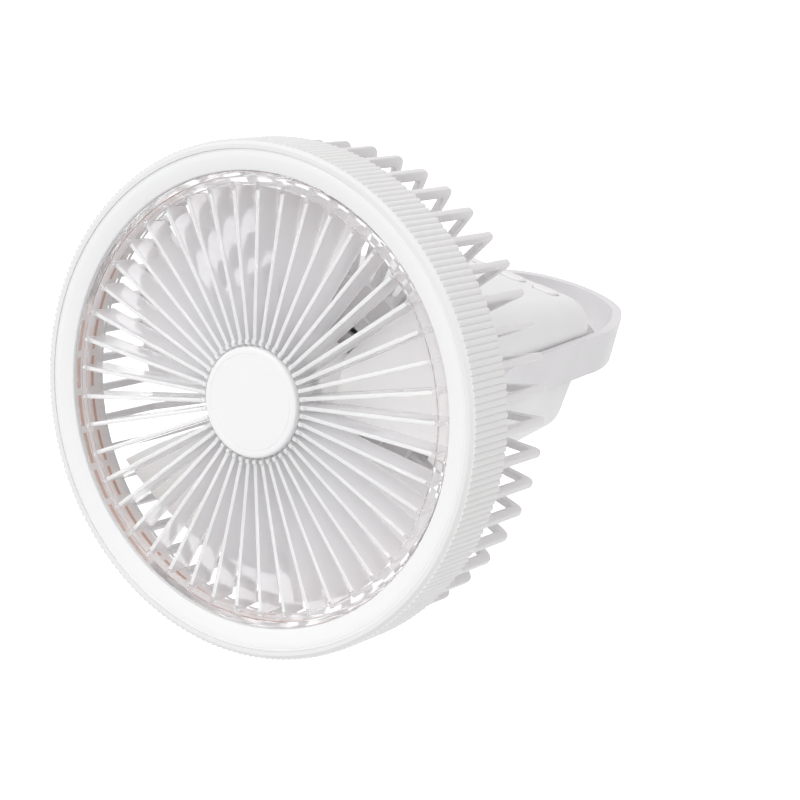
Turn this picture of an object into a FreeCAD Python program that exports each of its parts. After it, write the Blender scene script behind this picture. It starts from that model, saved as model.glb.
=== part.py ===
"""Portable camping fan: a knurled ring light round a clear grille, an axial fan, a battery housing
behind it, and a folding loop handle that is also the stand.

The fan's axis lies along Y and the front faces -Y. The origin is the mouth of the tripod socket
in the underside of the housing. Sub-parts are drawn in the fan's own frame, with the axis at
x = z = 0 and the front of the ring at y = 0, and one placement carries them all to the origin.
"""
import FreeCAD, Part
import math
import os

import Sketcher
from FreeCAD import Placement, Rotation, Vector

DRIVING = (
    ("axis_height", 28.0, "socket mouth up to the fan's axis"),
    ("socket_back", 96.0, "ring front back to the socket's axis"),
    ("ring_radius", 75.0, "knurled ring, over its ridges"),
    ("ring_depth", 18.0, "knurled ring, front to back"),
    ("ring_bore", 72.4, "inside of the knurled ring"),
    ("ridge_count", 240.0, "ridges round the ring"),
    ("ridge_depth", 0.55, "depth of the grooves between ridges"),
    ("lens_bore", 66.1, "inner radius of the light's diffuser"),
    ("rim_radius", 65.8, "outer radius of the clear grille"),
    ("rim_wall", 1.3, "wall of the clear rim"),
    ("spoke_count", 45.0, "blades of the clear grille"),
    ("spoke_width", 1.3, "thickness of one grille blade"),
    ("spoke_depth", 9.4, "grille blades, front edge to back edge"),
    ("spoke_reach", 61.8, "radius where the blades meet the flange"),
    ("cap_radius", 16.1, "white cap at the centre"),
    ("hub_radius", 17.0, "impeller hub"),
    ("hub_front", 14.0, "front of the impeller hub"),
    ("hub_depth", 18.0, "impeller hub, front to back"),
    ("blade_tip", 60.5, "impeller over its blade tips"),
    ("blade_count", 5.0, "impeller blades"),
    ("blade_turn", 30.0, "angle of the first blade above +X"),
    ("shaft_radius", 1.48, "motor shaft"),
    ("bearing_bore", 1.5, "bearing bore radius"),
    ("bearing_radius", 4.0, "bearing outer radius"),
    ("bearing_width", 4.0, "bearing width"),
    ("guard_radius", 72.8, "outside of the rear guard's bars"),
    ("guard_back", 45.2, "rear face of the guard's bars"),
    ("bar_count", 48.0, "bent bars in the rear guard"),
    ("bar_width", 2.1, "guard bar, round the fan"),
    ("bar_depth", 3.4, "guard bar, across its bend"),
    ("bar_turn", 5.0, "angle of the first guard bar above +X"),
    ("plate_radius", 34.0, "guard's centre plate"),
    ("plate_front", 39.7, "front face of the centre plate"),
    ("plate_screws", 28.0, "screws through the plate, out from the axis"),
    ("mount_screws", 23.9, "screws through the motor mount, out from the axis"),
    ("case_front", 47.2, "front face of the housing"),
    ("case_back", 148.5, "rear face of the housing"),
    ("case_front_width", 37.0, "half width of the housing at the front"),
    ("case_back_width", 28.7, "half width of the housing at the back"),
    ("case_front_height", 31.3, "half height of the housing at the front"),
    ("case_back_height", 23.3, "half height of the housing at the back"),
    ("case_wall", 2.0, "wall of the housing"),
    ("case_split", 5.0, "level where the two shells meet"),
    ("case_draft", 0.1, "inward lean of the lower shell's sides, so the handle swings past them"),
    ("heel_reach", 87.2, "pivot to the rounded rear of the lower shell, inside the handle's brace"),
    ("pivot_back", 62.0, "ring front back to the handle's pivot"),
    ("handle_tall", 14.2, "height of the handle's band"),
    ("handle_gap", 0.7, "gap between the handle and the housing"),
    ("handle_wall", 2.0, "thickness of the handle's arms"),
    ("handle_nose", 195.5, "rearmost point of the handle"),
    ("nose_wall", 4.3, "thickness of the handle at its nose"),
    ("pin_radius", 3.0, "handle pivot pin"),
    ("pad_face", 36.6, "outer face of the pivot pads"),
    ("boss_face", 37.4, "inner face of the handle's bosses"),
    ("boss_outer", 41.0, "outer face of the handle's bosses"),
    ("button_back", 137.3, "ring front back to the buttons"),
    ("button_length", 9.0, "button, side to side"),
    ("button_width", 5.0, "button, front to back"),
    ("button_proud", 1.0, "button above the housing"),
    ("power_x", 0.6, "power button's centre"),
    ("light_x", 13.6, "light button's centre"),
    ("board_level", 10.0, "underside of the control board"),
    ("board_thick", 1.6, "control board"),
    ("cell_radius", 9.1, "battery cell"),
    ("cell_length", 65.0, "battery cell"),
    ("cell_front", 59.0, "front end of the cells"),
    ("cell_level", -5.0, "height of the cells' axes"),
    ("socket_radius", 3.175, "quarter inch tripod thread"),
    ("socket_depth", 8.0, "depth of the tripod socket"),
)


class Size:
    """A length that knows its number and the spreadsheet formula that it comes from."""

    def __init__(self, value, formula=None):
        self.value = float(value)
        self.formula = formula if formula else repr(float(value))

    def __add__(self, other):
        other = as_size(other)
        return Size(self.value + other.value, f"({self.formula} + {other.formula})")

    def __sub__(self, other):
        other = as_size(other)
        return Size(self.value - other.value, f"({self.formula} - {other.formula})")

    def __mul__(self, other):
        other = as_size(other)
        return Size(self.value * other.value, f"({self.formula} * {other.formula})")

    def __truediv__(self, other):
        other = as_size(other)
        return Size(self.value / other.value, f"({self.formula} / {other.formula})")

    def __neg__(self):
        return Size(-self.value, f"(-{self.formula})")


def as_size(value):
    return value if isinstance(value, Size) else Size(value)


doc = FreeCAD.newDocument("camping_fan")
sheet = doc.addObject("Spreadsheet::Sheet", "Sizes")
sizes = {}
for row, (alias, value, meaning) in enumerate(DRIVING, start=1):
    sheet.set(f"A{row}", meaning)
    sheet.set(f"B{row}", str(value))
    sheet.setAlias(f"B{row}", alias)
    sizes[alias] = Size(value, f"Sizes.{alias}")
doc.recompute()

nodes = []


def size(alias):
    return sizes[alias]


def length(alias):
    """The spreadsheet's own number, for the shapes that are built in code."""
    return float(sheet.get(alias))


def settle(part, forward=0.0):
    """Carries a sub-part from the fan's frame to the origin at the tripod socket."""
    part.setExpression("Placement.Base.y", (as_size(forward) - size("socket_back")).formula)
    part.setExpression("Placement.Base.z", size("axis_height").formula)
    nodes.append(part)
    return part


def new_body(label):
    body = doc.addObject("PartDesign::Body", label)
    body.Label = label
    return body


def new_sketch(body, role, name):
    sketch = body.newObject("Sketcher::SketchObject", name)
    plane = next(feature for feature in body.Origin.OriginFeatures if feature.Role == role)
    sketch.AttachmentSupport = (plane, [""])
    sketch.MapMode = "FlatFace"
    return sketch


def pin_point(sketch, line, end, x, y):
    """Holds one point of the sketch at sizes x and y from its origin."""
    for kind, place in (("DistanceX", as_size(x)), ("DistanceY", as_size(y))):
        index = sketch.addConstraint(Sketcher.Constraint(kind, -1, 1, line, end, place.value))
        sketch.setExpression(f"Constraints[{index}]", place.formula)


def outline(sketch, points):
    """A closed outline of straight lines with every corner held."""
    places = [(as_size(x), as_size(y)) for x, y in points]
    corners = [Vector(x.value, y.value, 0) for x, y in places]
    first = None
    for start, finish in zip(corners, corners[1:] + corners[:1]):
        line = sketch.addGeometry(Part.LineSegment(start, finish), False)
        if first is None:
            first = line
    for offset, (x, y) in enumerate(places):
        line = first + offset
        following = first + (offset + 1) % len(places)
        sketch.addConstraint(Sketcher.Constraint("Coincident", line, 2, following, 1))
        pin_point(sketch, line, 1, x, y)


def ring_outline(sketch, x, y, radius):
    """A circle held by its centre and radius."""
    x, y, radius = as_size(x), as_size(y), as_size(radius)
    drawn = Part.Circle(Vector(x.value, y.value, 0), Vector(0, 0, 1), radius.value)
    circle = sketch.addGeometry(drawn, False)
    index = sketch.addConstraint(Sketcher.Constraint("Radius", circle, radius.value))
    sketch.setExpression(f"Constraints[{index}]", radius.formula)
    pin_point(sketch, circle, 3, x, y)


def turned(body, points, name="turned"):
    """A full turn of an outline drawn as (radius, depth) round the fan's axis."""
    sketch = new_sketch(body, "XY_Plane", f"{body.Label}_{name}_outline")
    outline(sketch, points)
    spin = body.newObject("PartDesign::Revolution", f"{body.Label}_{name}")
    spin.Profile = sketch
    spin.ReferenceAxis = (sketch, ["V_Axis"])
    spin.Angle = 360.0
    sketch.Visibility = False
    return spin


def turned_part(label, points):
    body = new_body(label)
    turned(body, points)
    return settle(body)


def tube_points(inner, outer, front, back):
    return ((inner, front), (outer, front), (outer, back), (inner, back))


def tube_part(label, inner, outer, front, back):
    """A plain ring or tube on the fan's axis."""
    return turned_part(label, tube_points(inner, outer, front, back))


def around(body, feature, count, name):
    """Copies a feature round the fan's axis."""
    axis = next(item for item in body.Origin.OriginFeatures if item.Role == "Y_Axis")
    pattern = body.newObject("PartDesign::PolarPattern", f"{body.Label}_{name}")
    pattern.Originals = [feature]
    pattern.Axis = (axis, [""])
    pattern.Angle = 360.0
    pattern.Occurrences = int(count)
    body.Tip = pattern
    return pattern


def box_part(label, x, y, z, wide, deep, tall):
    """A box from its lowest corner, in the fan's frame."""
    box = doc.addObject("Part::Box", label)
    box.Label = label
    box.setExpression("Length", as_size(wide).formula)
    box.setExpression("Width", as_size(deep).formula)
    box.setExpression("Height", as_size(tall).formula)
    box.setExpression("Placement.Base.x", as_size(x).formula)
    box.setExpression("Placement.Base.y", (as_size(y) - size("socket_back")).formula)
    box.setExpression("Placement.Base.z", (as_size(z) + size("axis_height")).formula)
    return box


def coded_part(label, shape):
    """A sub-part whose shape is worked out in code from the spreadsheet's sizes."""
    part = doc.addObject("Part::Feature", label)
    part.Label = label
    part.Shape = shape
    return settle(part)


def block(x, y, z, wide, deep, tall):
    """A box shape centred on x, from y rearwards and from z upwards."""
    return Part.makeBox(wide, deep, tall, Vector(x - wide / 2, y, z))


def along_y(x, z, radius, front, back):
    return Part.makeCylinder(radius, back - front, Vector(x, front, z), Vector(0, 1, 0))


def along_z(x, y, radius, low, high):
    return Part.makeCylinder(radius, high - low, Vector(x, y, low), Vector(0, 0, 1))


def along_x(y, z, radius, low, high):
    return Part.makeCylinder(radius, high - low, Vector(low, y, z), Vector(1, 0, 0))


def oval(x, y, long, wide, low, high):
    """An upright slug with rounded ends, long across X."""
    reach = (long - wide) / 2
    middle = block(x, y - wide / 2, low, 2 * reach, wide, high - low)
    ends = [along_z(x + side * reach, y, wide / 2, low, high) for side in (-1, 1)]
    return middle.multiFuse(ends).removeSplitter()


def turn_about_axis(shape, degrees):
    """A copy turned about the fan's axis, from +X upwards."""
    turned_shape = shape.copy()
    turned_shape.rotate(Vector(0, 0, 0), Vector(0, 1, 0), -degrees)
    return turned_shape


# The ring light

def make_grip_band():
    """The knurled ring: half-round ridges, with a plain lip in front of them."""
    count = int(length("ridge_count"))
    crest = length("ring_radius")
    root = crest - length("ridge_depth")
    step = 2 * math.pi / count
    lip = 0.9

    def at(angle, radius):
        return Vector(radius * math.cos(angle), lip, radius * math.sin(angle))

    ridges = []
    for number in range(count):
        start = number * step
        ridge = Part.Arc(at(start, root), at(start + step / 2, crest), at(start + step, root))
        ridges.append(ridge.toShape())
    ridged = Part.Face(Part.Wire(ridges)).extrude(Vector(0, length("ring_depth") - lip, 0))
    front_lip = Part.makeCone(root - lip, root, lip, Vector(0, 0, 0), Vector(0, 1, 0))
    bore = along_y(0, 0, length("ring_bore"), -1, length("ring_depth") + 1)
    return coded_part("grip_band", ridged.fuse(front_lip).cut(bore).removeSplitter())


def make_diffuser():
    """The white light guide: three shallow facets and a skirt that clips into the ring."""
    edge = size("ring_bore") - 0.2
    bore = size("lens_bore")
    return turned_part("light_diffuser", (
        (bore, 1.6), (bore + 1.9, 0.8), (bore + 4.1, 0.25), (edge, 0.5), (edge, 5.0),
        (edge - 1.2, 5.0), (edge - 1.2, 2.2), (bore + 1.9, 2.4), (bore, 3.2)))


def make_ring_frame():
    """The channel that carries the light: inner wall, rear web and outer wall."""
    outer = size("ring_bore")
    inner = size("lens_bore") + 0.5
    return turned_part("ring_frame", (
        (inner, 8.0), (inner + 1.2, 8.0), (inner + 1.2, 12.4), (outer - 1.4, 12.4), (outer - 1.4, 5.2),
        (outer, 5.2), (outer, 14.0), (inner, 14.0)))


def make_led_board():
    inner = size("lens_bore") + 0.5
    return tube_part("led_board", inner, size("ring_bore") - 1.6, 7.0, 8.0)


def make_leds():
    """Thirty-six light emitters on the face of the ring board."""
    count = 36
    middle = length("lens_bore") + 2.7
    emitter = block(middle, 6.2, -1.4, 2.8, 0.8, 2.8)
    return coded_part("leds", Part.makeCompound(
        [turn_about_axis(emitter, number * 360 / count) for number in range(count)]))


def make_flex_strip():
    """The light's flexible strip, wrapped inside the ring and seen through the clear rim."""
    inner = size("rim_radius") + 0.15
    return tube_part("led_flex_strip", inner, inner + 0.3, 3.6, 13.0)


# The clear grille

def make_grille():
    """Clear rim, flange and centre plate joined by deep radial blades."""
    body = new_body("front_grille")
    rim = size("rim_radius")
    wall = size("rim_wall")
    reach = size("spoke_reach")
    turned(body, (
        (reach, 2.1), (rim, 2.1), (rim, 13.6),
        (rim - wall, 13.6), (rim - wall, 3.6), (reach, 3.6)), "rim")
    turned(body, ((0, 2.4), (15.0, 2.4), (15.0, 11.4), (13.6, 11.4), (13.6, 4.4), (0, 4.4)), "plate")
    blade = new_sketch(body, "XY_Plane", "grille_blade_outline")
    front = Size(2.1)
    back = front + size("spoke_depth")
    outline(blade, (
        (14.4, 2.4), (16.8, 2.4), (16.8, 1.5), (18.0, 1.5), (18.4, front), (reach - 1.2, front),
        (reach - 0.8, 1.6), (reach + 1.2, 1.6), (reach + 1.2, 3.0), (reach + 0.4, back), (14.4, back)))
    pad = body.newObject("PartDesign::Pad", "grille_blade")
    pad.Profile = blade
    pad.setExpression("Length", size("spoke_width").formula)
    pad.SideType = "Symmetric"
    around(body, pad, length("spoke_count"), "blades")
    return settle(body)


def make_cap():
    """The white cap, with a fine ring line and a rounded edge."""
    edge = size("cap_radius")
    return turned_part("centre_cap", (
        (0, 0.6), (13.9, 0.6), (14.0, 0.8), (14.2, 0.8), (14.3, 0.6), (edge - 0.6, 0.6), (edge - 0.15, 0.85),
        (edge, 1.3), (edge, 2.4), (0, 2.4)))


# The impeller and its motor

def make_impeller():
    """A cup hub with broad twisted blades."""
    front = length("hub_front")
    back = front + length("hub_depth")
    hub_radius = length("hub_radius")
    hub = along_y(0, 0, hub_radius, front, back).cut(along_y(0, 0, hub_radius - 1.8, front + 2.0, back + 1))
    hub = hub.makeFillet(1.5, [edge for edge in hub.Edges if is_ring(edge, hub_radius, front)])
    middle = (front + back) / 2
    tip = length("blade_tip")
    sections = (
        (hub_radius - 1.2, 17.0, 42.0, 2.4),
        (hub_radius + 16.0, 38.0, 29.0, 2.0),
        (tip + 1.0, 62.0, 18.0, 1.4))
    rings = [blade_section(middle, *section) for section in sections]
    blade = Part.makeLoft(rings, True, False).common(along_y(0, 0, tip, front - 5, back + 5))
    count = int(length("blade_count"))
    blades = [turn_about_axis(blade, number * 360 / count + length("blade_turn")) for number in range(count)]
    wheel = hub.multiFuse(blades).cut(along_y(0, 0, length("shaft_radius"), front - 1, back + 1))
    return coded_part("impeller", wheel.removeSplitter())


def is_ring(edge, radius, depth):
    """True for a full circle of the given radius at one depth along the axis."""
    circle = isinstance(edge.Curve, Part.Circle) and abs(edge.Curve.Radius - radius) < 0.01
    return circle and abs(edge.Curve.Center.y - depth) < 0.01


def blade_section(middle, radius, chord, pitch, thick):
    """A blade section standing across the radius and pitched about it, thickest in the middle."""
    angle = math.radians(pitch)
    across = Vector(0, math.sin(angle), math.cos(angle))
    through = Vector(0, math.cos(angle), -math.sin(angle))
    corners = []
    for side, face in ((-0.5, -0.3), (0, -0.5), (0.5, -0.3), (0.5, 0.3), (0, 0.5), (-0.5, 0.3)):
        place = across * (side * chord) + through * (face * thick)
        corners.append(Vector(radius, middle + place.y, place.z))
    return Part.makePolygon(corners + corners[:1])


def make_rotor():
    """Steel cup, magnet ring and shaft, which turn with the impeller."""
    front = size("hub_front") + 2.0
    back = size("hub_front") + size("hub_depth") - 1.0
    cup = size("hub_radius") - 1.8
    shaft = size("shaft_radius")
    turned_part("rotor_yoke", (
        (shaft, front), (cup, front), (cup, back),
        (cup - 1.2, back), (cup - 1.2, front + 1.2), (shaft, front + 1.2)))
    tube_part("rotor_magnet", cup - 2.8, cup - 1.2, front + 3.0, back - 1.0)
    turned_part("motor_shaft", (
        (0, 11.4), (shaft - 0.3, 11.4), (shaft, 11.7), (shaft, 37.0), (shaft - 0.3, 37.3), (0, 37.3)))
    nut = Part.makePolygon([Vector(3.1 * math.cos(k * math.pi / 3), 11.9, 3.1 * math.sin(k * math.pi / 3))
                            for k in range(7)])
    nut = Part.Face(nut).extrude(Vector(0, 2.1, 0))
    coded_part("retaining_nut", nut.cut(along_y(0, 0, length("shaft_radius"), 10, 15)))


def make_stator():
    """Nine laminated teeth on the bearing tube, each with a wound coil."""
    teeth = 9
    body = new_body("stator_core")
    tube = size("bearing_radius") + 1.2
    turned(body, tube_points(tube, tube + 1.8, 21.0, 28.0), "core")
    tooth = new_sketch(body, "XY_Plane", "stator_tooth_outline")
    outline(tooth, tube_points(tube + 1.4, 11.2, 21.0, 28.0))
    pad = body.newObject("PartDesign::Pad", "stator_tooth")
    pad.Profile = tooth
    pad.Length = 1.6
    pad.SideType = "Symmetric"
    around(body, pad, teeth, "teeth")
    settle(body)
    inner = length("bearing_radius") + 3.2
    coil = block(inner + 1.6, 20.2, -1.4, 3.2, 8.6, 2.8)
    coil = coil.makeFillet(0.5, coil.Edges).cut(block(inner + 1.6, 21.0, -0.8, 9.0, 7.0, 1.6))
    coded_part("stator_windings", Part.makeCompound(
        [turn_about_axis(coil, number * 360 / teeth) for number in range(teeth)]))


def make_bearings():
    bore = size("bearing_bore")
    outer = size("bearing_radius")
    width = size("bearing_width")
    tube_part("front_bearing", bore, outer, 19.4, width + 19.4)
    tube_part("rear_bearing", bore, outer, 32.4, width + 32.4)


def vent_angles():
    """Middles of the mount's air slots, up from +X round the fan's axis."""
    return (70, 178, 250, 322)


def mount_screw_angles():
    return (16, 124, 214, 286)


def plate_screw_angles():
    return (39, 129, 219, 309)


def make_motor_mount():
    """The bearing tube and its round foot, with a hole for the motor's wires."""
    tube = length("bearing_radius")
    rear = length("plate_front")
    front = rear - 2.3
    foot = along_y(0, 0, 25.5, front, rear).fuse(along_y(0, 0, tube + 1.2, 18.6, front + 0.6))
    foot = foot.cut(along_y(0, 0, tube, 18.0, 36.4)).cut(along_y(0, 0, 2.4, 30.0, 40.0))
    foot = foot.cut(along_y(0, wire_level(), 3.2, 36.0, 41.0))
    for angle in vent_angles():
        foot = foot.cut(turn_about_axis(block(20.0, front - 1, -3.5, 2.6, 5.0, 7.0), angle))
    for angle in mount_screw_angles():
        foot = foot.cut(turn_about_axis(along_y(length("mount_screws"), 0, 0.95, 36.0, 41.0), angle))
    coded_part("motor_mount", foot.removeSplitter())
    board = along_y(0, 0, 12.4, 34.2, 35.4).cut(along_y(0, 0, tube + 1.3, 33.0, 36.0))
    coded_part("motor_board", board)
    out = length("mount_screws")
    screw = along_y(out, 0, 0.9, 37.0, 42.8).fuse(along_y(out, 0, 1.6, front - 1.2, front)).removeSplitter()
    screws = [turn_about_axis(screw, angle) for angle in mount_screw_angles()]
    coded_part("motor_screws", Part.makeCompound(screws))


# The rear guard

def guard_bar(body, points):
    """One flat bar drawn beside the axis, then all the bars round it."""
    sketch = new_sketch(body, "XY_Plane", f"{body.Label}_bar_outline")
    outline(sketch, points)
    pad = body.newObject("PartDesign::Pad", f"{body.Label}_bar")
    pad.Profile = sketch
    pad.setExpression("Length", size("bar_width").formula)
    pad.SideType = "Symmetric"
    around(body, pad, length("bar_count"), "bars")


def turn_to_bars(body):
    """Brings a guard part's first bar to its place above +X."""
    body.Placement = Placement(body.Placement.Base, Rotation(Vector(0, 1, 0), -length("bar_turn")))


def make_guard_bars():
    """Forty-eight bars that run straight back from a seat ring inside the knurled band."""
    body = new_body("guard_bars")
    outer = size("guard_radius")
    deep = size("bar_depth")
    ring = size("ring_bore")
    corner = size("guard_back") - deep
    turned(body, tube_points(ring - 3.4, ring, 14.0, 17.6), "seat")
    guard_bar(body, (
        (ring - deep, 17.0), (ring, 17.0), (ring, 18.6), (outer, 19.2), (outer, corner), (outer - deep, corner),
        (outer - deep, 19.2), (ring - deep, 18.6)))
    settle(body)
    turn_to_bars(body)


def make_rear_guard():
    """The bars' rounded turns and flat rear lengths, with the centre plate and its spacer ring."""
    body = new_body("rear_guard")
    outer = size("guard_radius")
    back = size("guard_back")
    plate = size("plate_radius")
    front = size("plate_front")
    case = size("case_front")
    corner = back - size("bar_depth")
    turned(body, (
        (22.5, front), (plate, front), (plate, back),
        (26.0, back), (26.0, case), (22.5, case)), "plate")
    guard_bar(body, (
        (plate - 1.0, corner), (outer, corner), (outer, back - 3.0), (outer - 0.4, back - 1.5),
        (outer - 1.5, back - 0.4), (outer - 3.0, back), (plate - 1.0, back)))
    holes = new_sketch(body, "XZ_Plane", "guard_screw_holes")
    for out, radius, angles in ((length("plate_screws"), 1.15, plate_screw_angles()),
                                (length("mount_screws"), 0.95, mount_screw_angles())):
        for angle in angles:
            turn = math.radians(angle - length("bar_turn"))
            ring_outline(holes, out * math.cos(turn), out * math.sin(turn), radius)
    pocket = body.newObject("PartDesign::Pocket", "guard_screw_hole")
    pocket.Profile = holes
    pocket.Type = "ThroughAll"
    pocket.SideType = "Symmetric"
    body.Tip = pocket
    settle(body)
    turn_to_bars(body)


# The housing

def case_half_width(depth):
    """Half width of the tapered housing at a depth behind the ring's front."""
    share = (depth - length("case_front")) / (length("case_back") - length("case_front"))
    return length("case_front_width") + share * (length("case_back_width") - length("case_front_width"))


def case_half_height(depth):
    share = (depth - length("case_front")) / (length("case_back") - length("case_front"))
    return length("case_front_height") + share * (length("case_back_height") - length("case_front_height"))


def case_section(depth, inset):
    """The housing's rounded outline at one depth, drawn in by a wall's thickness."""
    wide = case_half_width(depth) - inset
    tall = case_half_height(depth) - inset
    corner = 0.36 * case_half_width(depth) - inset
    split = length("case_split")
    draft = length("case_draft")
    lean = math.sqrt(1 + draft * draft)
    out = Vector(1 / lean, 0, -draft / lean)
    low_level = corner - tall
    low = Vector(wide - draft * (split - low_level) - corner * lean, depth, low_level)
    high = Vector(wide - corner, depth, tall - corner)
    diagonal = (out + Vector(0, 0, -1)).normalize()
    slant = corner * math.sqrt(0.5)
    foot = (low + Vector(0, 0, -corner), low + diagonal * corner, low + out * corner)
    seam = Vector(wide, depth, split)
    crown = (high + Vector(corner, 0, 0), high + Vector(slant, 0, slant), high + Vector(0, 0, corner))
    edges = []
    for side in (1, -1):
        turn = [Vector(side * point.x, depth, point.z) for point in foot]
        join = Vector(side * seam.x, depth, split)
        top = [Vector(side * point.x, depth, point.z) for point in crown]
        edges.append(Part.Arc(*turn).toShape())
        edges.append(Part.makeLine(turn[2], join))
        edges.append(Part.makeLine(join, top[0]))
        edges.append(Part.Arc(*top).toShape())
    edges.append(Part.makeLine(crown[2], Vector(-crown[2].x, depth, tall)))
    edges.append(Part.makeLine(foot[0], Vector(-foot[0].x, depth, -tall)))
    return Part.Wire(Part.__sortEdges__(edges))


def case_solid(front, back, inset, rounding):
    solid = Part.makeLoft([case_section(front, inset), case_section(back, inset)], True, True)
    rear_edges = [edge for edge in solid.Edges if abs(edge.CenterOfMass.y - back) < 0.5
                  and edge.BoundBox.YLength < 0.5]
    return solid.makeFillet(rounding, rear_edges)


def wire_level():
    return length("board_level") + length("board_thick") / 2


def screw_posts():
    """Centres of the four posts that hold the shells together."""
    return ((-24.0, 53.5), (24.0, 53.5), (-22.6, 136.0), (22.6, 136.0))


def heel_room(inset):
    """Everything above the pivot, and below it only what the handle's brace swings clear of."""
    pivot = length("pivot_back")
    level = pivot_level()
    above = block(0, -20, level, 140, 240, 60)
    return above.fuse(along_x(pivot, level, length("heel_reach") - inset, -70, 70))


def case_shell():
    wall = length("case_wall")
    front = length("case_front")
    back = length("case_back")
    outer = case_solid(front, back, 0, 6.0).common(heel_room(0))
    inner = case_solid(front + wall, back - wall, wall, 4.0).common(heel_room(wall))
    return outer, inner


def pivot_level():
    return length("handle_tall") / 2


def make_shells():
    """Upper and lower shells of the housing, with posts, pivot pads and openings."""
    outer, inner = case_shell()
    split = length("case_split")
    pivot = length("pivot_back")
    level = pivot_level()
    radius = length("handle_tall") / 2
    walls = outer.cut(inner)
    pads = []
    for side in (-1, 1):
        low, high = sorted((side * (case_half_width(pivot) - 3.5), side * length("pad_face")))
        pads.append(along_x(pivot, level, radius, low, high))
    walls = walls.multiFuse(pads)
    pin = length("pin_radius")
    walls = walls.cut(along_x(pivot, level, pin, -50, 50))
    walls = walls.cut(along_y(0, wire_level(), 4.0, 40, 50))
    for angle in plate_screw_angles():
        walls = walls.cut(turn_about_axis(along_y(length("plate_screws"), 0, 1.1, 40, 50), angle))

    posts = [along_z(x, y, 3.2, -40, 40).common(inner) for x, y in screw_posts()]
    rests = [along_z(x, y, 2.4, -40, length("cell_level") - length("cell_radius") - 1.0).common(inner)
             for x, y in ((-20, 70), (20, 70), (-18, 119), (18, 119))]
    hangers = [along_z(x, y, 2.0, length("board_level") + length("board_thick"), 40).common(inner)
               for x, y in ((-15, 92), (15, 92), (-15, 126), (15, 126))]
    socket_boss = along_z(0, length("socket_back"), 8.0, -40, -18.6).common(inner)

    below = block(0, 0, -60, 120, 200, 60 + split)
    above = block(0, 0, split, 120, 200, 60)
    lower = walls.common(below).multiFuse([post.common(below) for post in posts] + rests + [socket_boss])
    upper = walls.common(above).multiFuse([post.common(above) for post in posts] + hangers)

    for x, y in screw_posts():
        floor = -case_half_height(y)
        lower = lower.cut(along_z(x, y, 1.45, -40, split + 1)).cut(along_z(x, y, 2.6, -40, floor + 5.0))
        upper = upper.cut(along_z(x, y, 1.1, split - 1, split + 9.0))
    insert = along_z(0, length("socket_back"), 5.4, -40, -19.0)
    lower = lower.cut(insert)

    row = length("button_back")
    for x in (length("power_x"), length("light_x")):
        upper = upper.cut(oval(x, row, length("button_length") + 0.7, length("button_width") + 0.7, 15, 40))
    for x in light_guide_places():
        upper = upper.cut(along_z(x, row, 0.8, 15, 40))
    upper = upper.cut(charging_mouth(0.25))
    coded_part("lower_shell", lower.removeSplitter())
    coded_part("upper_shell", upper.removeSplitter())

    screws = []
    for x, y in screw_posts():
        floor = -case_half_height(y) + 5.0
        screws.append(along_z(x, y, 1.1, floor, split + 8.0).fuse(along_z(x, y, 2.3, floor - 1.6, floor)))
    coded_part("shell_screws", Part.makeCompound([screw.removeSplitter() for screw in screws]))


def make_tripod_insert():
    """Brass insert with the tripod thread, open downwards."""
    mouth = -length("axis_height")
    back = length("socket_back")
    body = along_z(0, back, 5.4, mouth, mouth + length("socket_depth") + 1.0)
    bore = along_z(0, back, length("socket_radius"), mouth - 1, mouth + length("socket_depth"))
    coded_part("tripod_insert", body.cut(bore))


def make_guard_screws():
    """Four screws that hold the guard's plate to the housing."""
    out = length("plate_screws")
    front = length("plate_front")
    screw = along_y(out, 0, 1.1, front - 1.0, length("case_front") + 2.6)
    screw = screw.fuse(along_y(out, 0, 2.2, front - 1.6, front)).removeSplitter()
    coded_part("guard_screws", Part.makeCompound(
        [turn_about_axis(screw, angle) for angle in plate_screw_angles()]))


# Battery and electronics

def make_battery():
    """Three cells side by side on a tray."""
    radius = length("cell_radius")
    front = length("cell_front")
    back = front + length("cell_length")
    level = length("cell_level")
    cells = []
    for number in (-1, 0, 1):
        x = number * (2 * radius + 0.05)
        can = along_y(x, level, radius, front + 1.2, back)
        cells.append(can.fuse(along_y(x, level, 3.2, front, front + 1.4)).removeSplitter())
    coded_part("battery_cells", Part.makeCompound(cells))
    floor = level - radius
    tray = block(0, front - 1.2, floor - 1.0, 46.0, back - front + 2.4, 1.0)
    ends = [block(0, face, floor - 1.0, 46.0, 1.2, 14.0) for face in (front - 1.2, back)]
    coded_part("battery_tray", tray.multiFuse(ends).removeSplitter())


def light_guide_places():
    return [-17.2 + 2.6 * number for number in range(4)]


def charging_mouth(grow):
    """The rounded opening of the charging socket through the rear wall."""
    wide = 9.0 + 2 * grow
    tall = 3.2 + 2 * grow
    level = length("board_level") - 1.6
    reach = (wide - tall) / 2
    back = length("case_back")
    slot = block(0, back - 9.0, level - tall / 2, 2 * reach, 12.0, tall)
    ends = [along_y(side * reach, level, tall / 2, back - 9.0, back + 3.0) for side in (-1, 1)]
    return slot.multiFuse(ends)


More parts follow.
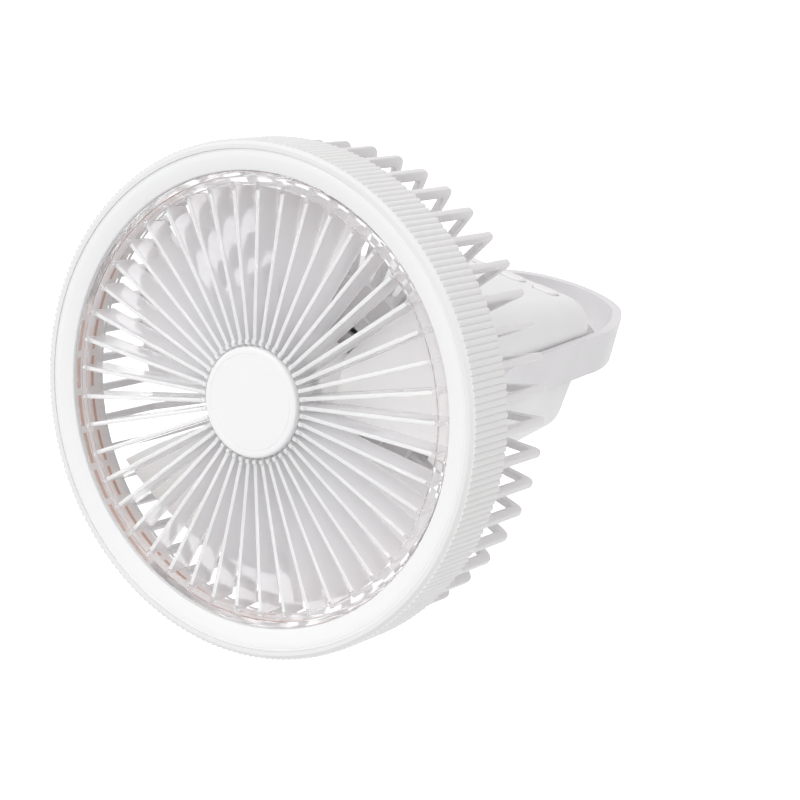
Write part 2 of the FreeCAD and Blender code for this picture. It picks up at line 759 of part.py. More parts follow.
def make_electronics():
    """Control board with its chips, switches, light guide, charging socket and motor wires."""
    low = length("board_level")
    top = low + length("board_thick")
    row = length("button_back")
    level, thick = size("board_level"), size("board_thick")
    nodes.append(box_part("control_board", -17.5, 88.0, level, 35.0, 56.0, thick))
    chips = [
        block(-6.0, 98.0, top, 7.0, 7.0, 1.2),
        block(6.5, 97.0, top, 5.0, 6.0, 1.6),
        block(-4.0, 112.0, top, 10.0, 10.0, 3.0),
        block(8.0, 114.0, top, 4.0, 6.0, 1.0)]
    chips.extend(block(x, row - 0.8, top, 1.6, 1.6, 0.7) for x in light_guide_places())
    coded_part("board_chips", Part.makeCompound(chips))
    switches = []
    for x in (length("power_x"), length("light_x")):
        base = block(x, row - 3.0, top, 6.0, 6.0, 3.4)
        switches.append(base.fuse(along_z(x, row, 1.7, top + 3.0, top + 4.4)).removeSplitter())
    coded_part("button_switches", Part.makeCompound(switches))

    surface = case_half_height(row)
    guide = block(-13.3, row - 0.8, top + 1.0, 9.6, 1.6, 1.0)
    guide = guide.multiFuse([along_z(x, row, 0.7, top + 1.0, surface + 0.1) for x in light_guide_places()])
    coded_part("charge_light_guide", guide.removeSplitter())

    back = length("case_back")
    can = charging_mouth(0).common(block(0, back - 8.6, low - 6.0, 20.0, 7.9, 12.0))
    inside = along_socket()
    coded_part("charging_socket", can.cut(inside).removeSplitter())

    wires = [along_y(x, wire_level(), 0.7, 35.4, 88.0) for x in (-1.6, 0.0, 1.6)]
    coded_part("motor_wires", Part.makeCompound(wires))


def along_socket():
    """The hollow inside the charging socket, with its contact tongue left standing."""
    back = length("case_back")
    level = length("board_level") - 1.6
    reach = 2.9
    hollow = block(0, back - 7.0, level - 1.25, 2 * reach, 8.0, 2.5)
    ends = [along_y(side * reach, level, 1.25, back - 7.0, back + 1.0) for side in (-1, 1)]
    hollow = hollow.multiFuse(ends)
    return hollow.cut(block(0, back - 8.0, level - 0.35, 6.4, 6.0, 0.7))


def make_buttons():
    """Two oval buttons, each with a retaining flange and a stem over its switch."""
    row = length("button_back")
    long = length("button_length")
    wide = length("button_width")
    surface = case_half_height(row)
    under = surface - length("case_wall")
    stem_foot = length("board_level") + length("board_thick") + 5.4
    for label, x in (("power_button", length("power_x")), ("light_button", length("light_x"))):
        top = surface + length("button_proud")
        cap = oval(x, row, long, wide, under - 1.9, top)
        crown = [edge for edge in cap.Edges if edge.BoundBox.ZMin > top - 0.01]
        cap = cap.makeFillet(0.8, crown)
        flange = oval(x, row, long + 2.0, wide + 2.0, under - 1.9, under - 0.9)
        stem = along_z(x, row, 1.6, stem_foot, under - 1.5)
        coded_part(label, cap.multiFuse([flange, stem]).removeSplitter())


# The handle

def handle_side(depth, offset):
    """Distance from the middle to a line that follows the housing's side at an offset."""
    return case_half_width(depth) + length("handle_gap") + offset


def make_handle():
    """A flat loop round the housing: two arms, a bowed nose and a brace behind the housing."""
    wall = length("handle_wall")
    nose = length("handle_nose")
    pivot = length("pivot_back")
    tall = length("handle_tall")
    inner_face = length("boss_face")
    outer_face = length("boss_outer")
    turn_back = 147.0

    def half(points, bow, tip):
        """One side's outline from the pivot to the nose, then its mirror image."""
        right = [Vector(x, y, 0) for x, y in points]
        shoulder, flank, quarter = (Vector(x, y, 0) for x, y in bow)
        end = Vector(0, tip, 0)
        mirrored = [Vector(-point.x, point.y, 0) for point in right]
        edges = [Part.makeLine(a, b) for a, b in zip(right, right[1:])]
        edges.append(Part.makeLine(right[-1], shoulder))
        edges.append(Part.Arc(shoulder, flank, quarter).toShape())
        edges.append(Part.Arc(quarter, end, Vector(-quarter.x, quarter.y, 0)).toShape())
        edges.append(Part.Arc(Vector(-quarter.x, quarter.y, 0), Vector(-flank.x, flank.y, 0),
                              Vector(-shoulder.x, shoulder.y, 0)).toShape())
        edges.append(Part.makeLine(Vector(-shoulder.x, shoulder.y, 0), mirrored[-1]))
        edges.extend(Part.makeLine(b, a) for a, b in reversed(list(zip(mirrored, mirrored[1:]))))
        return edges

    outer = half(((outer_face, pivot), (outer_face, pivot + 6.0), (handle_side(86.0, wall), 86.0)),
                 ((handle_side(turn_back, wall), turn_back), (29.3, 164.2), (22.4, 180.9)), nose)
    inner = half(((inner_face, pivot), (inner_face, pivot + 8.2), (handle_side(76.0, 0), 76.0)),
                 ((handle_side(turn_back, 0), turn_back), (26.7, 162.3), (19.5, 179.3)), nose - length("nose_wall"))
    tips = [Part.makeLine(Vector(side * inner_face, pivot, 0), Vector(side * outer_face, pivot, 0))
            for side in (-1, 1)]
    loop = Part.Face(Part.Wire(Part.__sortEdges__(outer + inner + tips))).extrude(Vector(0, 0, tall))
    brace_back = Part.Arc(Vector(-30.0, 150.5, 0), Vector(0, 165.5, 0), Vector(30.0, 150.5, 0)).toShape()
    brace_front = Part.Arc(Vector(30.0, 147.9, 0), Vector(0, 162.7, 0), Vector(-30.0, 147.9, 0)).toShape()
    brace_edges = [brace_back, Part.makeLine(Vector(30.0, 150.5, 0), Vector(30.0, 147.9, 0)), brace_front,
                   Part.makeLine(Vector(-30.0, 147.9, 0), Vector(-30.0, 150.5, 0))]
    brace = Part.Face(Part.Wire(brace_edges)).extrude(Vector(0, 0, 4.4))
    brace.translate(Vector(0, 0, tall - 4.4))
    bosses = []
    for side in (-1, 1):
        low, high = sorted((side * inner_face, side * outer_face))
        bosses.append(along_x(pivot, pivot_level(), tall / 2, low, high))
    loop = loop.multiFuse(bosses + [brace])
    for side in (-1, 1):
        low, high = sorted((side * (inner_face - 1), side * (outer_face + 1)))
        loop = loop.cut(along_x(pivot, pivot_level(), length("pin_radius") + 0.06, low, high))
    coded_part("handle_loop", loop.removeSplitter())


def make_pivots():
    """Shouldered pins and friction washers on both sides of the housing."""
    pivot = length("pivot_back")
    level = pivot_level()
    pin = length("pin_radius")
    inside = case_half_width(pivot) - length("case_wall") - 1.6
    for label, side in (("left", -1), ("right", 1)):
        def reach(start, finish):
            return sorted((side * start, side * finish))
        shank = along_x(pivot, level, pin, *reach(inside - 2.0, length("boss_outer") + 0.4))
        collar = along_x(pivot, level, pin + 1.6, *reach(inside - 2.0, inside))
        head = along_x(pivot, level, pin + 1.8, *reach(length("boss_outer") + 0.3, length("boss_outer") + 1.5))
        coded_part(f"pivot_pin_{label}", shank.multiFuse([collar, head]).removeSplitter())
        disc = along_x(pivot, level, 6.6, *reach(length("pad_face"), length("pad_face") + 0.5))
        coded_part(f"friction_washer_{label}", disc.cut(along_x(pivot, level, pin, -50, 50)))


make_grip_band()
make_diffuser()
make_ring_frame()
make_led_board()
make_leds()
make_flex_strip()
make_grille()
make_cap()
make_impeller()
make_rotor()
make_stator()
make_bearings()
make_motor_mount()
make_guard_bars()
make_rear_guard()
make_shells()
make_tripod_insert()
make_guard_screws()
make_battery()
make_electronics()
make_buttons()
make_handle()
make_pivots()

doc.recompute()
for item in doc.Objects:
    if "Invalid" in item.State or "Error" in item.State:
        raise RuntimeError(f"{item.Label}: {item.State}")

os.makedirs("parts", exist_ok=True)
for part in nodes:
    shape = part.Shape
    if shape.isNull() or not shape.isValid():
        raise RuntimeError(f"{part.Label} has no valid shape")
    shape.exportStep(f"parts/{part.Label}.step")
    box = shape.BoundBox
    print(f"{part.Label}: {len(shape.Solids)} solids, {shape.Volume:.0f} mm3, "
          f"y {box.YMin:.1f}..{box.YMax:.1f}, z {box.ZMin:.1f}..{box.ZMax:.1f}")
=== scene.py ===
import math

import bmesh
import bpy
from mathutils import Matrix, Vector


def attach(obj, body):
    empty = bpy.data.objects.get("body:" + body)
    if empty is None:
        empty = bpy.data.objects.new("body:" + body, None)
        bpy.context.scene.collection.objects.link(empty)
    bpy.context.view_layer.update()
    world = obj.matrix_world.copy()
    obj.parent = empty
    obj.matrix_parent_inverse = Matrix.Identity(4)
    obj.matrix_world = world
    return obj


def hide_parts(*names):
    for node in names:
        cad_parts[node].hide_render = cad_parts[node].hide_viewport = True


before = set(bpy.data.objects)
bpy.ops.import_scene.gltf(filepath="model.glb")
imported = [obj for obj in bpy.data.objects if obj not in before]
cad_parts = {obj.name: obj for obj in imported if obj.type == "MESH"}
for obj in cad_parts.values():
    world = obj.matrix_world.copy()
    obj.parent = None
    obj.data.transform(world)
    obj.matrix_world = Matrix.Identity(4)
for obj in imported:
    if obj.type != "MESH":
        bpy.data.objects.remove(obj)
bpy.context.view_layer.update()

# Sizes of the fan, in metres
RING_RADIUS = 0.075
FAN_CENTRE = Vector((0.0, -0.096, 0.028))

# The camera, where the photograph's was
VIEW_AZIMUTH = math.radians(29.14)
VIEW_ELEVATION = math.radians(18.04)
VIEW_ROLL = math.radians(14.47)
VIEW_DISTANCE = 9.0 * RING_RADIUS
VIEW_RIGHT = 0.5761 * RING_RADIUS
VIEW_UP = 0.0122 * RING_RADIUS
LENS = 106.66


def aim_camera():
    """Places the camera so that the fan stands in the frame as it does in the photograph."""
    turn = (Matrix.Rotation(VIEW_AZIMUTH, 4, "Z") @ Matrix.Rotation(math.pi / 2 - VIEW_ELEVATION, 4, "X")
            @ Matrix.Rotation(VIEW_ROLL, 4, "Z"))
    right, up, back = (turn.col[axis].to_3d() for axis in range(3))
    data = bpy.data.cameras.new("camera")
    data.lens = LENS
    data.sensor_width = 36.0
    data.clip_start = 0.01
    camera = bpy.data.objects.new("camera", data)
    place = FAN_CENTRE + back * VIEW_DISTANCE + right * VIEW_RIGHT + up * VIEW_UP
    camera.matrix_world = Matrix.Translation(place) @ turn
    bpy.context.scene.collection.objects.link(camera)
    bpy.context.scene.camera = camera


def srgb(red, green, blue):
    """A colour written in the usual 0 to 255 values, as the shader wants it."""
    def linear(value):
        value /= 255
        return value / 12.92 if value <= 0.04045 else ((value + 0.055) / 1.055) ** 2.4
    return (linear(red), linear(green), linear(blue), 1.0)


def new_group(name, inputs, outputs):
    """An empty node group with named sockets."""
    group = bpy.data.node_groups.new(name, "ShaderNodeTree")
    for label, kind, value in inputs:
        socket = group.interface.new_socket(label, in_out="INPUT", socket_type=kind)
        socket.default_value = value
    for label, kind in outputs:
        group.interface.new_socket(label, in_out="OUTPUT", socket_type=kind)
    return group, group.nodes.new("NodeGroupInput"), group.nodes.new("NodeGroupOutput")


def add_node(tree, kind, **values):
    """A node with its plain settings and unlinked sockets filled in."""
    node = tree.nodes.new(kind)
    for name, value in values.items():
        if name in node.inputs.keys():
            node.inputs[name].default_value = value
        else:
            setattr(node, name, value)
    return node


def moulded_surface_group():
    """Fine mould texture, slow tone drift and handling marks, shared by the plastics."""
    group, inlet, outlet = new_group(
        "moulded_surface",
        (("Colour", "NodeSocketColor", (0.8, 0.8, 0.8, 1)), ("Drift", "NodeSocketFloat", 0.03),
         ("Grain Size", "NodeSocketFloat", 1500.0), ("Roughness", "NodeSocketFloat", 0.45)),
        (("Colour", "NodeSocketColor"), ("Roughness", "NodeSocketFloat"), ("Height", "NodeSocketFloat")))
    place = add_node(group, "ShaderNodeTexCoord")
    link = group.links.new
    slow = add_node(group, "ShaderNodeTexNoise", Scale=16.0, Detail=3.0, Roughness=0.5)
    link(place.outputs["Object"], slow.inputs["Vector"])
    spread = add_node(group, "ShaderNodeMapRange")
    spread.inputs["From Min"].default_value = 0.3
    spread.inputs["From Max"].default_value = 0.7
    spread.inputs["To Min"].default_value = 1.0
    link(slow.outputs["Fac"], spread.inputs["Value"])
    floor = add_node(group, "ShaderNodeMath", operation="SUBTRACT")
    floor.inputs[0].default_value = 1.0
    link(inlet.outputs["Drift"], floor.inputs[1])
    link(floor.outputs[0], spread.inputs["To Max"])
    shade = add_node(group, "ShaderNodeMix", data_type="RGBA", blend_type="MULTIPLY")
    shade.inputs["Factor"].default_value = 1.0
    link(inlet.outputs["Colour"], shade.inputs["A"])
    link(spread.outputs["Result"], shade.inputs["B"])
    link(shade.outputs["Result"], outlet.inputs["Colour"])

    grain = add_node(group, "ShaderNodeTexNoise", Detail=2.0, Roughness=0.6)
    link(place.outputs["Object"], grain.inputs["Vector"])
    link(inlet.outputs["Grain Size"], grain.inputs["Scale"])
    link(grain.outputs["Fac"], outlet.inputs["Height"])

    marks = add_node(group, "ShaderNodeTexNoise", Scale=70.0, Detail=4.0, Roughness=0.65, Distortion=0.4)
    link(place.outputs["Object"], marks.inputs["Vector"])
    polish = add_node(group, "ShaderNodeMapRange")
    polish.inputs["From Min"].default_value = 0.35
    polish.inputs["From Max"].default_value = 0.7
    polish.inputs["To Min"].default_value = -0.06
    polish.inputs["To Max"].default_value = 0.08
    link(marks.outputs["Fac"], polish.inputs["Value"])
    total = add_node(group, "ShaderNodeMath", operation="ADD", use_clamp=True)
    link(inlet.outputs["Roughness"], total.inputs[0])
    link(polish.outputs["Result"], total.inputs[1])
    link(total.outputs[0], outlet.inputs["Roughness"])
    return group


MOULDED = moulded_surface_group()


def plastic(name, colour, roughness=0.45, drift=0.03, grain=1500.0, bump=0.06, **shader):
    """A moulded plastic with its own colour and texture."""
    material = bpy.data.materials.new(name)
    material.use_nodes = True
    tree = material.node_tree
    principled = tree.nodes["Principled BSDF"]
    surface = tree.nodes.new("ShaderNodeGroup")
    surface.node_tree = MOULDED
    surface.inputs["Colour"].default_value = colour
    surface.inputs["Drift"].default_value = drift
    surface.inputs["Grain Size"].default_value = grain
    surface.inputs["Roughness"].default_value = roughness
    relief = add_node(tree, "ShaderNodeBump", Strength=bump, Distance=0.0002)
    tree.links.new(surface.outputs["Colour"], principled.inputs["Base Color"])
    tree.links.new(surface.outputs["Roughness"], principled.inputs["Roughness"])
    tree.links.new(surface.outputs["Height"], relief.inputs["Height"])
    tree.links.new(relief.outputs["Normal"], principled.inputs["Normal"])
    for socket, value in shader.items():
        principled.inputs[socket.replace("_", " ")].default_value = value
    return material


def clear_plastic(name, colour, clearness):
    """Clear moulded plastic, a little milky, that lets the room's light through to what is behind it."""
    material = plastic(name, colour, roughness=0.1, drift=0.01, bump=0.02,
                       Transmission_Weight=clearness, IOR=1.14)
    tree = material.node_tree
    path = tree.nodes.new("ShaderNodeLightPath")
    lit = add_node(tree, "ShaderNodeMath", operation="MAXIMUM")
    tree.links.new(path.outputs["Is Shadow Ray"], lit.inputs[0])
    tree.links.new(path.outputs["Is Diffuse Ray"], lit.inputs[1])
    solid = add_node(tree, "ShaderNodeMapRange")
    solid.inputs["To Min"].default_value = 1.0
    solid.inputs["To Max"].default_value = 0.12
    tree.links.new(lit.outputs[0], solid.inputs["Value"])
    tree.links.new(solid.outputs["Result"], tree.nodes["Principled BSDF"].inputs["Alpha"])
    return material


def light_strip(name):
    """Pale film with two broken copper lines that run round it."""
    material = plastic(name, srgb(240, 231, 227), roughness=0.4)
    tree = material.node_tree
    link = tree.links.new
    place = add_node(tree, "ShaderNodeTexCoord")
    centred = add_node(tree, "ShaderNodeMapping")
    centred.inputs["Location"].default_value = -FAN_CENTRE
    link(place.outputs["Object"], centred.inputs["Vector"])
    parts = tree.nodes.new("ShaderNodeSeparateXYZ")
    link(centred.outputs["Vector"], parts.inputs["Vector"])
    lines = None
    for depth, width in ((0.0046, 0.0009), (0.0098, 0.0006)):
        band = add_node(tree, "ShaderNodeMath", operation="COMPARE")
        band.inputs[1].default_value = depth
        band.inputs[2].default_value = width
        link(parts.outputs["Y"], band.inputs[0])
        if lines is None:
            lines = band.outputs[0]
        else:
            both = add_node(tree, "ShaderNodeMath", operation="MAXIMUM")
            link(lines, both.inputs[0])
            link(band.outputs[0], both.inputs[1])
            lines = both.outputs[0]
    angle = add_node(tree, "ShaderNodeMath", operation="ARCTAN2")
    link(parts.outputs["Z"], angle.inputs[0])
    link(parts.outputs["X"], angle.inputs[1])
    dashes = add_node(tree, "ShaderNodeMath", operation="MULTIPLY")
    dashes.inputs[1].default_value = 36 / (2 * math.pi)
    link(angle.outputs[0], dashes.inputs[0])
    part_way = add_node(tree, "ShaderNodeMath", operation="FRACT")
    link(dashes.outputs[0], part_way.inputs[0])
    dash = add_node(tree, "ShaderNodeMath", operation="LESS_THAN")
    dash.inputs[1].default_value = 0.82
    link(part_way.outputs[0], dash.inputs[0])
    mask = add_node(tree, "ShaderNodeMath", operation="MULTIPLY")
    link(lines, mask.inputs[0])
    link(dash.outputs[0], mask.inputs[1])
    principled = tree.nodes["Principled BSDF"]
    colour = add_node(tree, "ShaderNodeMix", data_type="RGBA")
    colour.inputs["B"].default_value = srgb(198, 128, 86)
    link(principled.inputs["Base Color"].links[0].from_socket, colour.inputs["A"])
    link(mask.outputs[0], colour.inputs["Factor"])
    link(colour.outputs["Result"], principled.inputs["Base Color"])
    return material


def dress(node, material):
    """Gives a CAD node its finish."""
    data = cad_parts[node].data
    data.materials.clear()
    data.materials.append(material)


# The floor lies below the reach of the handle when it is folded down.
FLOOR_LEVEL = -0.1


def stage_floor():
    """A pale floor that fades into a white surround, and keeps the fan's soft shadow."""
    bm = bmesh.new()
    bmesh.ops.create_grid(bm, x_segments=1, y_segments=1, size=6.0)
    bmesh.ops.translate(bm, verts=bm.verts, vec=(0, 0, FLOOR_LEVEL))
    mesh = bpy.data.meshes.new("floor")
    bm.to_mesh(mesh)
    bm.free()
    floor = bpy.data.objects.new("floor", mesh)
    bpy.context.scene.collection.objects.link(floor)
    material = bpy.data.materials.new("pale_floor")
    material.use_nodes = True
    tree = material.node_tree
    principled = tree.nodes["Principled BSDF"]
    principled.inputs["Base Color"].default_value = (0.85, 0.85, 0.85, 1)
    principled.inputs["Roughness"].default_value = 0.9
    principled.inputs["Specular IOR Level"].default_value = 0.0
    path = tree.nodes.new("ShaderNodeLightPath")
    seen = add_node(tree, "ShaderNodeMath", operation="MAXIMUM")
    seen_too = add_node(tree, "ShaderNodeMath", operation="MAXIMUM")
    glow = add_node(tree, "ShaderNodeMath", operation="MULTIPLY")
    glow.inputs[1].default_value = 0.6
    tree.links.new(path.outputs["Is Camera Ray"], seen.inputs[0])
    tree.links.new(path.outputs["Is Glossy Ray"], seen.inputs[1])
    tree.links.new(seen.outputs[0], seen_too.inputs[0])
    tree.links.new(path.outputs["Is Transmission Ray"], seen_too.inputs[1])
    tree.links.new(seen_too.outputs[0], glow.inputs[0])
    principled.inputs["Emission Color"].default_value = (1, 1, 1, 1)
    tree.links.new(glow.outputs[0], principled.inputs["Emission Strength"])
    mesh.materials.append(material)


# Each lamp: name, strength, spread in degrees, and the direction it stands in.
LAMPS = (
    ("key", 1.0, 40, (-0.5, -0.85, 0.8)),
    ("fill", 0.42, 60, (0.55, -0.35, 1.1)),
)


def studio_light():
    """Even white surround, with a broad key lamp from the front, left and above, and a softer fill."""
    world = bpy.data.worlds.new("surround")
    bpy.context.scene.world = world
    world.use_nodes = True
    tree = world.node_tree
    background = tree.nodes["Background"]
    path = tree.nodes.new("ShaderNodeLightPath")
    seen = add_node(tree, "ShaderNodeMath", operation="MAXIMUM")
    seen_too = add_node(tree, "ShaderNodeMath", operation="MAXIMUM")
    level = add_node(tree, "ShaderNodeMapRange")
    level.inputs["To Min"].default_value = 0.66
    level.inputs["To Max"].default_value = 1.0
    tree.links.new(path.outputs["Is Camera Ray"], seen.inputs[0])
    tree.links.new(path.outputs["Is Glossy Ray"], seen.inputs[1])
    tree.links.new(seen.outputs[0], seen_too.inputs[0])
    tree.links.new(path.outputs["Is Transmission Ray"], seen_too.inputs[1])
    tree.links.new(seen_too.outputs[0], level.inputs["Value"])
    tree.links.new(level.outputs["Result"], background.inputs["Strength"])
    background.inputs["Color"].default_value = (1, 1, 1, 1)
    for name, strength, spread, towards in LAMPS:
        lamp = bpy.data.lights.new(name, "SUN")
        lamp.energy = strength
        lamp.angle = math.radians(spread)
        source = bpy.data.objects.new(name, lamp)
        source.rotation_euler = Vector(towards).to_track_quat("Z", "Y").to_euler()
        bpy.context.scene.collection.objects.link(source)


SHELL_WHITE = plastic("shell_white", srgb(238, 237, 237), roughness=0.42)
DIFFUSER_WHITE = plastic("diffuser_white", srgb(245, 245, 246), roughness=0.34, drift=0.015)
GUARD_WHITE = plastic("guard_white", srgb(234, 232, 233), roughness=0.4)
HANDLE_WHITE = plastic("handle_white", srgb(228, 226, 228), roughness=0.45)
BLADE_WHITE = plastic("blade_white", srgb(248, 247, 247), roughness=0.38, Subsurface_Weight=0.3,
                      Subsurface_Scale=0.004, Subsurface_Radius=(1.0, 1.0, 1.0))
CLEAR = clear_plastic("clear_plastic", srgb(249, 248, 250), 0.54)
CLEAR_RIM = clear_plastic("clear_plastic_rim", srgb(252, 251, 252), 0.86)
# Painted highlight: a whiter, less clear copy of the clear plastic, standing in for the bright lines
# that light makes along the blades' edges.
CLEAR_PAINTED_HIGHLIGHT = clear_plastic("clear_plastic_painted_highlight", srgb(254, 254, 254), 0.3)
AMBER_FILM = light_strip("amber_film")
STEEL = plastic("turned_steel", srgb(190, 190, 194), roughness=0.3, Metallic=1.0)
DARK = plastic("dark_parts", srgb(60, 60, 64), roughness=0.5)
BOARD = plastic("board_green", srgb(46, 92, 66), roughness=0.5)
COPPER = plastic("enamelled_copper", srgb(196, 120, 74), roughness=0.35, Metallic=1.0)
BRASS = plastic("turned_brass", srgb(206, 172, 104), roughness=0.3, Metallic=1.0)
CELL_WRAP = plastic("cell_wrap", srgb(64, 110, 150), roughness=0.3)

FINISHES = (
    (SHELL_WHITE, ("grip_band", "ring_frame", "upper_shell", "lower_shell",
                   "power_button", "light_button")),
    (DIFFUSER_WHITE, ("light_diffuser", "centre_cap", "leds",
                      "friction_washer_left", "friction_washer_right")),
    (CLEAR, ("front_grille", "charge_light_guide")),
    (AMBER_FILM, ("led_flex_strip",)),
    (GUARD_WHITE, ("guard_bars", "rear_guard", "motor_mount", "battery_tray")),
    (BLADE_WHITE, ("impeller",)),
    (HANDLE_WHITE, ("handle_loop",)),
    (STEEL, ("retaining_nut", "rotor_yoke", "motor_shaft", "stator_core",
             "front_bearing", "rear_bearing", "motor_screws", "guard_screws", "shell_screws",
             "charging_socket", "pivot_pin_left", "pivot_pin_right")),
    (DARK, ("rotor_magnet", "board_chips", "button_switches")),
    (BOARD, ("led_board", "motor_board", "control_board")),
    (COPPER, ("stator_windings", "motor_wires")),
    (BRASS, ("tripod_insert",)),
    (CELL_WRAP, ("battery_cells",)),
)

for finish, nodes in FINISHES:
    for node in nodes:
        dress(node, finish)

# Pieces. They are drawn in millimetres in the fan's own frame, with its axis along Y through
# the origin and the ring's front at y = 0, and carried to the part's frame at the end.

MM = 0.001

GUARD_BARS = 48
BAR_WIDTH = 2.1
BAR_ROUND = 0.62
FIRST_BAR = 5.0
PLATE_BOSS_CIRCLE = 28.0
PLATE_BOSS_ANGLES = (39, 129, 219, 309)

GRILLE_BLADES = 45
BLADE_WIDTH = 1.3
BLADE_ROUND = 0.3
# The faces in front of BLADE_FRONT and just behind BLADE_REAR are the blades' edges, which get a painted
# highlight: a whiter, less clear copy of the clear plastic.
BLADE_FRONT = 2.3
BLADE_REAR = (11.2, 11.8)
RIM_INSIDE = 61.5

# Steps round a full turn
LARGE_TURN = 192
SMALL_TURN = 96


def finished(name, bm, material, body, nodes, sharp=40):
    """Makes an object of a finished mesh, in its place and on its body."""
    bmesh.ops.recalc_face_normals(bm, faces=bm.faces)
    bmesh.ops.scale(bm, verts=bm.verts, vec=(MM, MM, MM))
    bmesh.ops.translate(bm, verts=bm.verts, vec=FAN_CENTRE)
    return placed(name, bm, material, body, nodes, sharp, 0.0)


def placed(name, bm, material, body, nodes, sharp, bevel):
    """Makes an object of a mesh that is in its place, and hides the nodes it stands for."""
    mesh = bpy.data.meshes.new(name)
    bm.to_mesh(mesh)
    bm.free()
    mesh.shade_smooth()
    mesh.set_sharp_from_angle(angle=math.radians(sharp))
    mesh.materials.append(material)
    piece = bpy.data.objects.new(name, mesh)
    bpy.context.scene.collection.objects.link(piece)
    if bevel:
        round_edges(piece, bevel)
    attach(piece, body)
    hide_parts(*nodes)
    return piece


def round_edges(piece, width):
    """A small round along every sharp edge."""
    modifier = piece.modifiers.new("rounded_edges", "BEVEL")
    modifier.width = width * MM
    modifier.segments = 3
    modifier.limit_method = "ANGLE"
    modifier.angle_limit = math.radians(35)
    modifier.harden_normals = True


def softened(name, node, material, body, width):
    """The node's own shape with its edges rounded, as a mould leaves them."""
    bm = bmesh.new()
    bm.from_mesh(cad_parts[node].data)
    bmesh.ops.remove_doubles(bm, verts=bm.verts, dist=0.01 * MM)
    bmesh.ops.dissolve_limit(bm, angle_limit=math.radians(1.0), verts=bm.verts, edges=bm.edges)
    placed(name, bm, material, body, (node,), 35, width)


def lathe(bm, points, steps, closed=True):
    """A full turn of an outline of (radius, depth) points about the fan's axis."""
    verts = [bm.verts.new((radius, depth, 0)) for radius, depth in points]
    pairs = list(zip(verts, verts[1:]))
    if closed:
        pairs.append((verts[-1], verts[0]))
    edges = [bm.edges.new(pair) for pair in pairs]
    bmesh.ops.spin(bm, geom=verts + edges, cent=(0, 0, 0), axis=(0, 1, 0), angle=2 * math.pi,
                   steps=steps, use_merge=True)
    bmesh.ops.remove_doubles(bm, verts=bm.verts, dist=0.001)


def slab(bm, points, thick):
    """An outline of (radius, depth) points given a thickness. Returns the edges of its two rims."""
    verts = [bm.verts.new((radius, depth, -thick / 2)) for radius, depth in points]
    face = bm.faces.new(verts)
    grown = bmesh.ops.extrude_face_region(bm, geom=[face])["geom"]
    top = [item for item in grown if isinstance(item, bmesh.types.BMVert)]
    bmesh.ops.translate(bm, verts=top, vec=(0, 0, thick))
    every = verts + top
    bmesh.ops.recalc_face_normals(bm, faces=list({face for vert in every for face in vert.link_faces}))
    levels = (set(verts), set(top))
    rims = [edge for edge in {edge for vert in every for edge in vert.link_edges}
            if any(edge.verts[0] in level and edge.verts[1] in level for level in levels)]
    return rims


def bend(middle_radius, middle_depth, radius, first, last, steps):
    """Points along a corner's arc, in (radius, depth), from one angle to another."""
    points = []
    for step in range(steps + 1):
        angle = math.radians(first + (last - first) * step / steps)
        out = middle_radius + radius * math.cos(angle)
        back = middle_depth + radius * math.sin(angle)
        points.append((out, back))
    return points


def repeated(bm, count, first):
    """Turns everything drawn so far to its first place and copies it round the fan's axis."""
    turn = Matrix.Rotation(-math.radians(first), 3, "Y")
    bmesh.ops.rotate(bm, verts=bm.verts, cent=(0, 0, 0), matrix=turn)
    geometry = bm.verts[:] + bm.edges[:] + bm.faces[:]
    bmesh.ops.spin(bm, geom=geometry, cent=(0, 0, 0), axis=(0, 1, 0),
                   angle=2 * math.pi * (count - 1) / count, steps=count - 1, use_duplicate=True)


def rounded(bm, edges, offset):
    """A small round along the given edges."""
    bmesh.ops.bevel(bm, geom=edges, offset=offset, affect="EDGES", segments=2, profile=0.5,
                    material=-1, clamp_overlap=True)


def rear_guard():
    """Forty-eight bars with rounded edges that run back from the ring and turn in to the plate."""
    bm = bmesh.new()
    outline = [(72.8, 15.0)] + bend(69.6, 42.0, 3.2, 0, 90, 6) + [(33.0, 45.2), (33.0, 41.8)]
    outline += bend(68.2, 40.6, 1.2, 90, 0, 3) + [(69.4, 15.0)]
    rounded(bm, slab(bm, outline, BAR_WIDTH), BAR_ROUND)
    repeated(bm, GUARD_BARS, FIRST_BAR)
    lathe(bm, [(22.5, 39.9), (22.7, 39.7), (33.6, 39.7), (34.0, 40.1), (34.0, 45.2),
               (26.0, 45.2), (26.0, 47.2), (22.5, 47.2)], SMALL_TURN)
    lathe(bm, [(69.0, 14.0), (72.4, 14.0), (72.4, 17.3), (72.1, 17.6), (69.3, 17.6),
               (69.0, 17.3)], LARGE_TURN)
    for angle in PLATE_BOSS_ANGLES:
        turn = math.radians(angle)
        boss = bmesh.ops.create_cone(bm, cap_ends=True, segments=32, radius1=4.2, radius2=4.0,
                                     depth=0.8)["verts"]
        bmesh.ops.rotate(bm, verts=boss, cent=(0, 0, 0), matrix=Matrix.Rotation(math.pi / 2, 3, "X"))
        bmesh.ops.translate(bm, verts=boss, vec=(
            PLATE_BOSS_CIRCLE * math.cos(turn), 39.5, PLATE_BOSS_CIRCLE * math.sin(turn)))
    finished("rear_guard_moulding", bm, GUARD_WHITE, "housing", ("guard_bars", "rear_guard"))


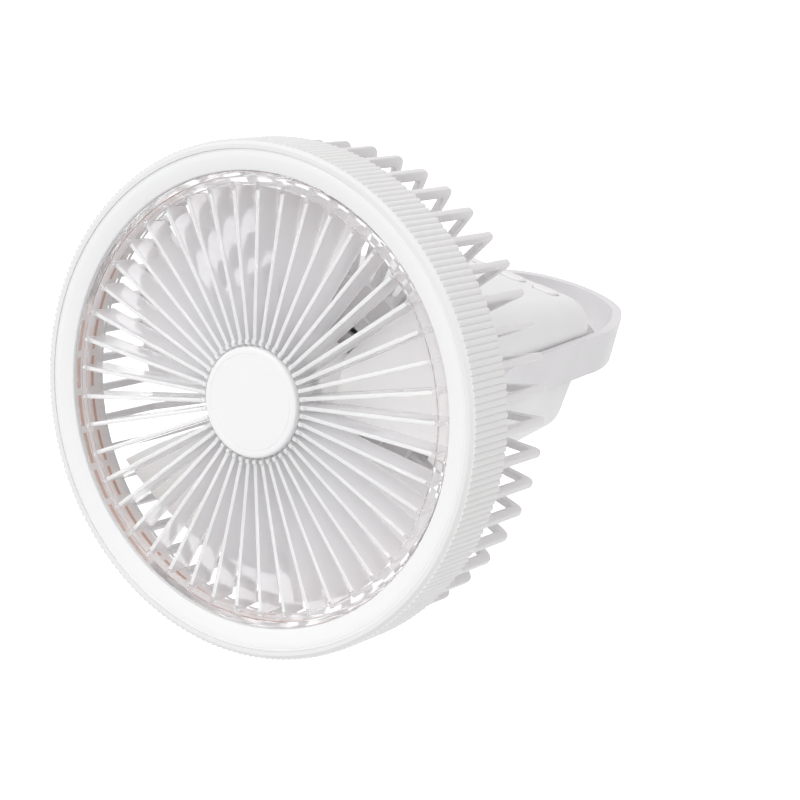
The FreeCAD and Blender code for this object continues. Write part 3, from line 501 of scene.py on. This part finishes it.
def clear_grille():
    """Forty-five clear blades between a toothed hub ring and a stepped clear rim."""
    bm = bmesh.new()
    outline = [(14.6, 2.6), (16.7, 2.6), (16.8, 1.6), (17.9, 1.6), (18.5, 2.2), (60.6, 2.2),
               (61.0, 1.7), (62.9, 1.7), (63.0, 2.9), (62.2, 11.4), (14.6, 11.4)]
    rounded(bm, slab(bm, outline, BLADE_WIDTH), BLADE_ROUND)
    repeated(bm, GRILLE_BLADES, 0.0)
    lathe(bm, [(61.8, 2.4), (62.1, 2.1), (65.4, 2.1), (65.8, 2.5), (65.8, 13.4), (65.6, 13.6),
               (64.7, 13.6), (64.5, 13.4), (64.5, 4.2), (64.0, 3.7), (62.1, 3.7), (61.8, 3.4)],
          LARGE_TURN)
    lathe(bm, [(13.8, 2.4), (15.0, 2.4), (15.2, 2.6), (15.2, 11.2), (15.0, 11.4), (13.6, 11.4),
               (13.6, 2.6)], SMALL_TURN)
    lathe(bm, [(0.0, 2.4), (14.0, 2.4), (14.0, 4.4), (0.0, 4.4)], SMALL_TURN, closed=False)
    # Rim faces take the clearer rim plastic. The blades' front and rear edge faces take the painted
    # highlight copy of the clear plastic.
    for face in bm.faces:
        middle = face.calc_center_median()
        if math.hypot(middle.x, middle.z) > RIM_INSIDE:
            face.material_index = 2
        elif middle.y < BLADE_FRONT or BLADE_REAR[0] < middle.y < BLADE_REAR[1]:
            face.material_index = 1
    grille = finished("clear_grille", bm, CLEAR, "housing", ("front_grille",))
    grille.data.materials.append(CLEAR_PAINTED_HIGHLIGHT)
    grille.data.materials.append(CLEAR_RIM)


def light_ring():
    """The diffuser: shallow soft facets, with a fine groove beside its outer edge."""
    bm = bmesh.new()
    lathe(bm, [(66.1, 1.7), (66.3, 1.45), (67.9, 0.85), (68.3, 0.75), (70.0, 0.32), (70.4, 0.27),
               (71.5, 0.3), (71.65, 0.42), (71.8, 0.32), (72.1, 0.3), (72.36, 0.42), (72.36, 5.0),
               (71.0, 5.0), (71.0, 2.2), (68.0, 2.4), (66.1, 3.2)], 240)
    finished("light_ring_diffuser", bm, DIFFUSER_WHITE, "housing", ("light_diffuser",),
             30)


def hub_cap():
    """The white cap: a flat face with a fine ring line, and a rounded edge."""
    bm = bmesh.new()
    lathe(bm, [(0.0, 0.6), (13.85, 0.6), (13.95, 0.72), (14.1, 0.72), (14.2, 0.6), (15.2, 0.6),
               (15.6, 0.68), (15.9, 0.9), (16.05, 1.2), (16.1, 1.6), (16.1, 2.4), (0.0, 2.4)],
          160, closed=False)
    finished("hub_cap", bm, DIFFUSER_WHITE, "housing", ("centre_cap",), 30)


def moulded_covers():
    """The housing, handle and buttons with their moulded edge rounds."""
    softened("upper_cover", "upper_shell", SHELL_WHITE, "housing", 0.35)
    softened("lower_cover", "lower_shell", SHELL_WHITE, "housing", 0.35)
    softened("handle_moulding", "handle_loop", HANDLE_WHITE, "handle", 0.6)
    softened("power_key", "power_button", SHELL_WHITE, "power_button", 0.25)
    softened("light_key", "light_button", SHELL_WHITE, "light_button", 0.25)


rear_guard()
clear_grille()
light_ring()
hub_cap()
moulded_covers()

aim_camera()
stage_floor()
studio_light()
bpy.context.scene.view_settings.view_transform = "Standard"
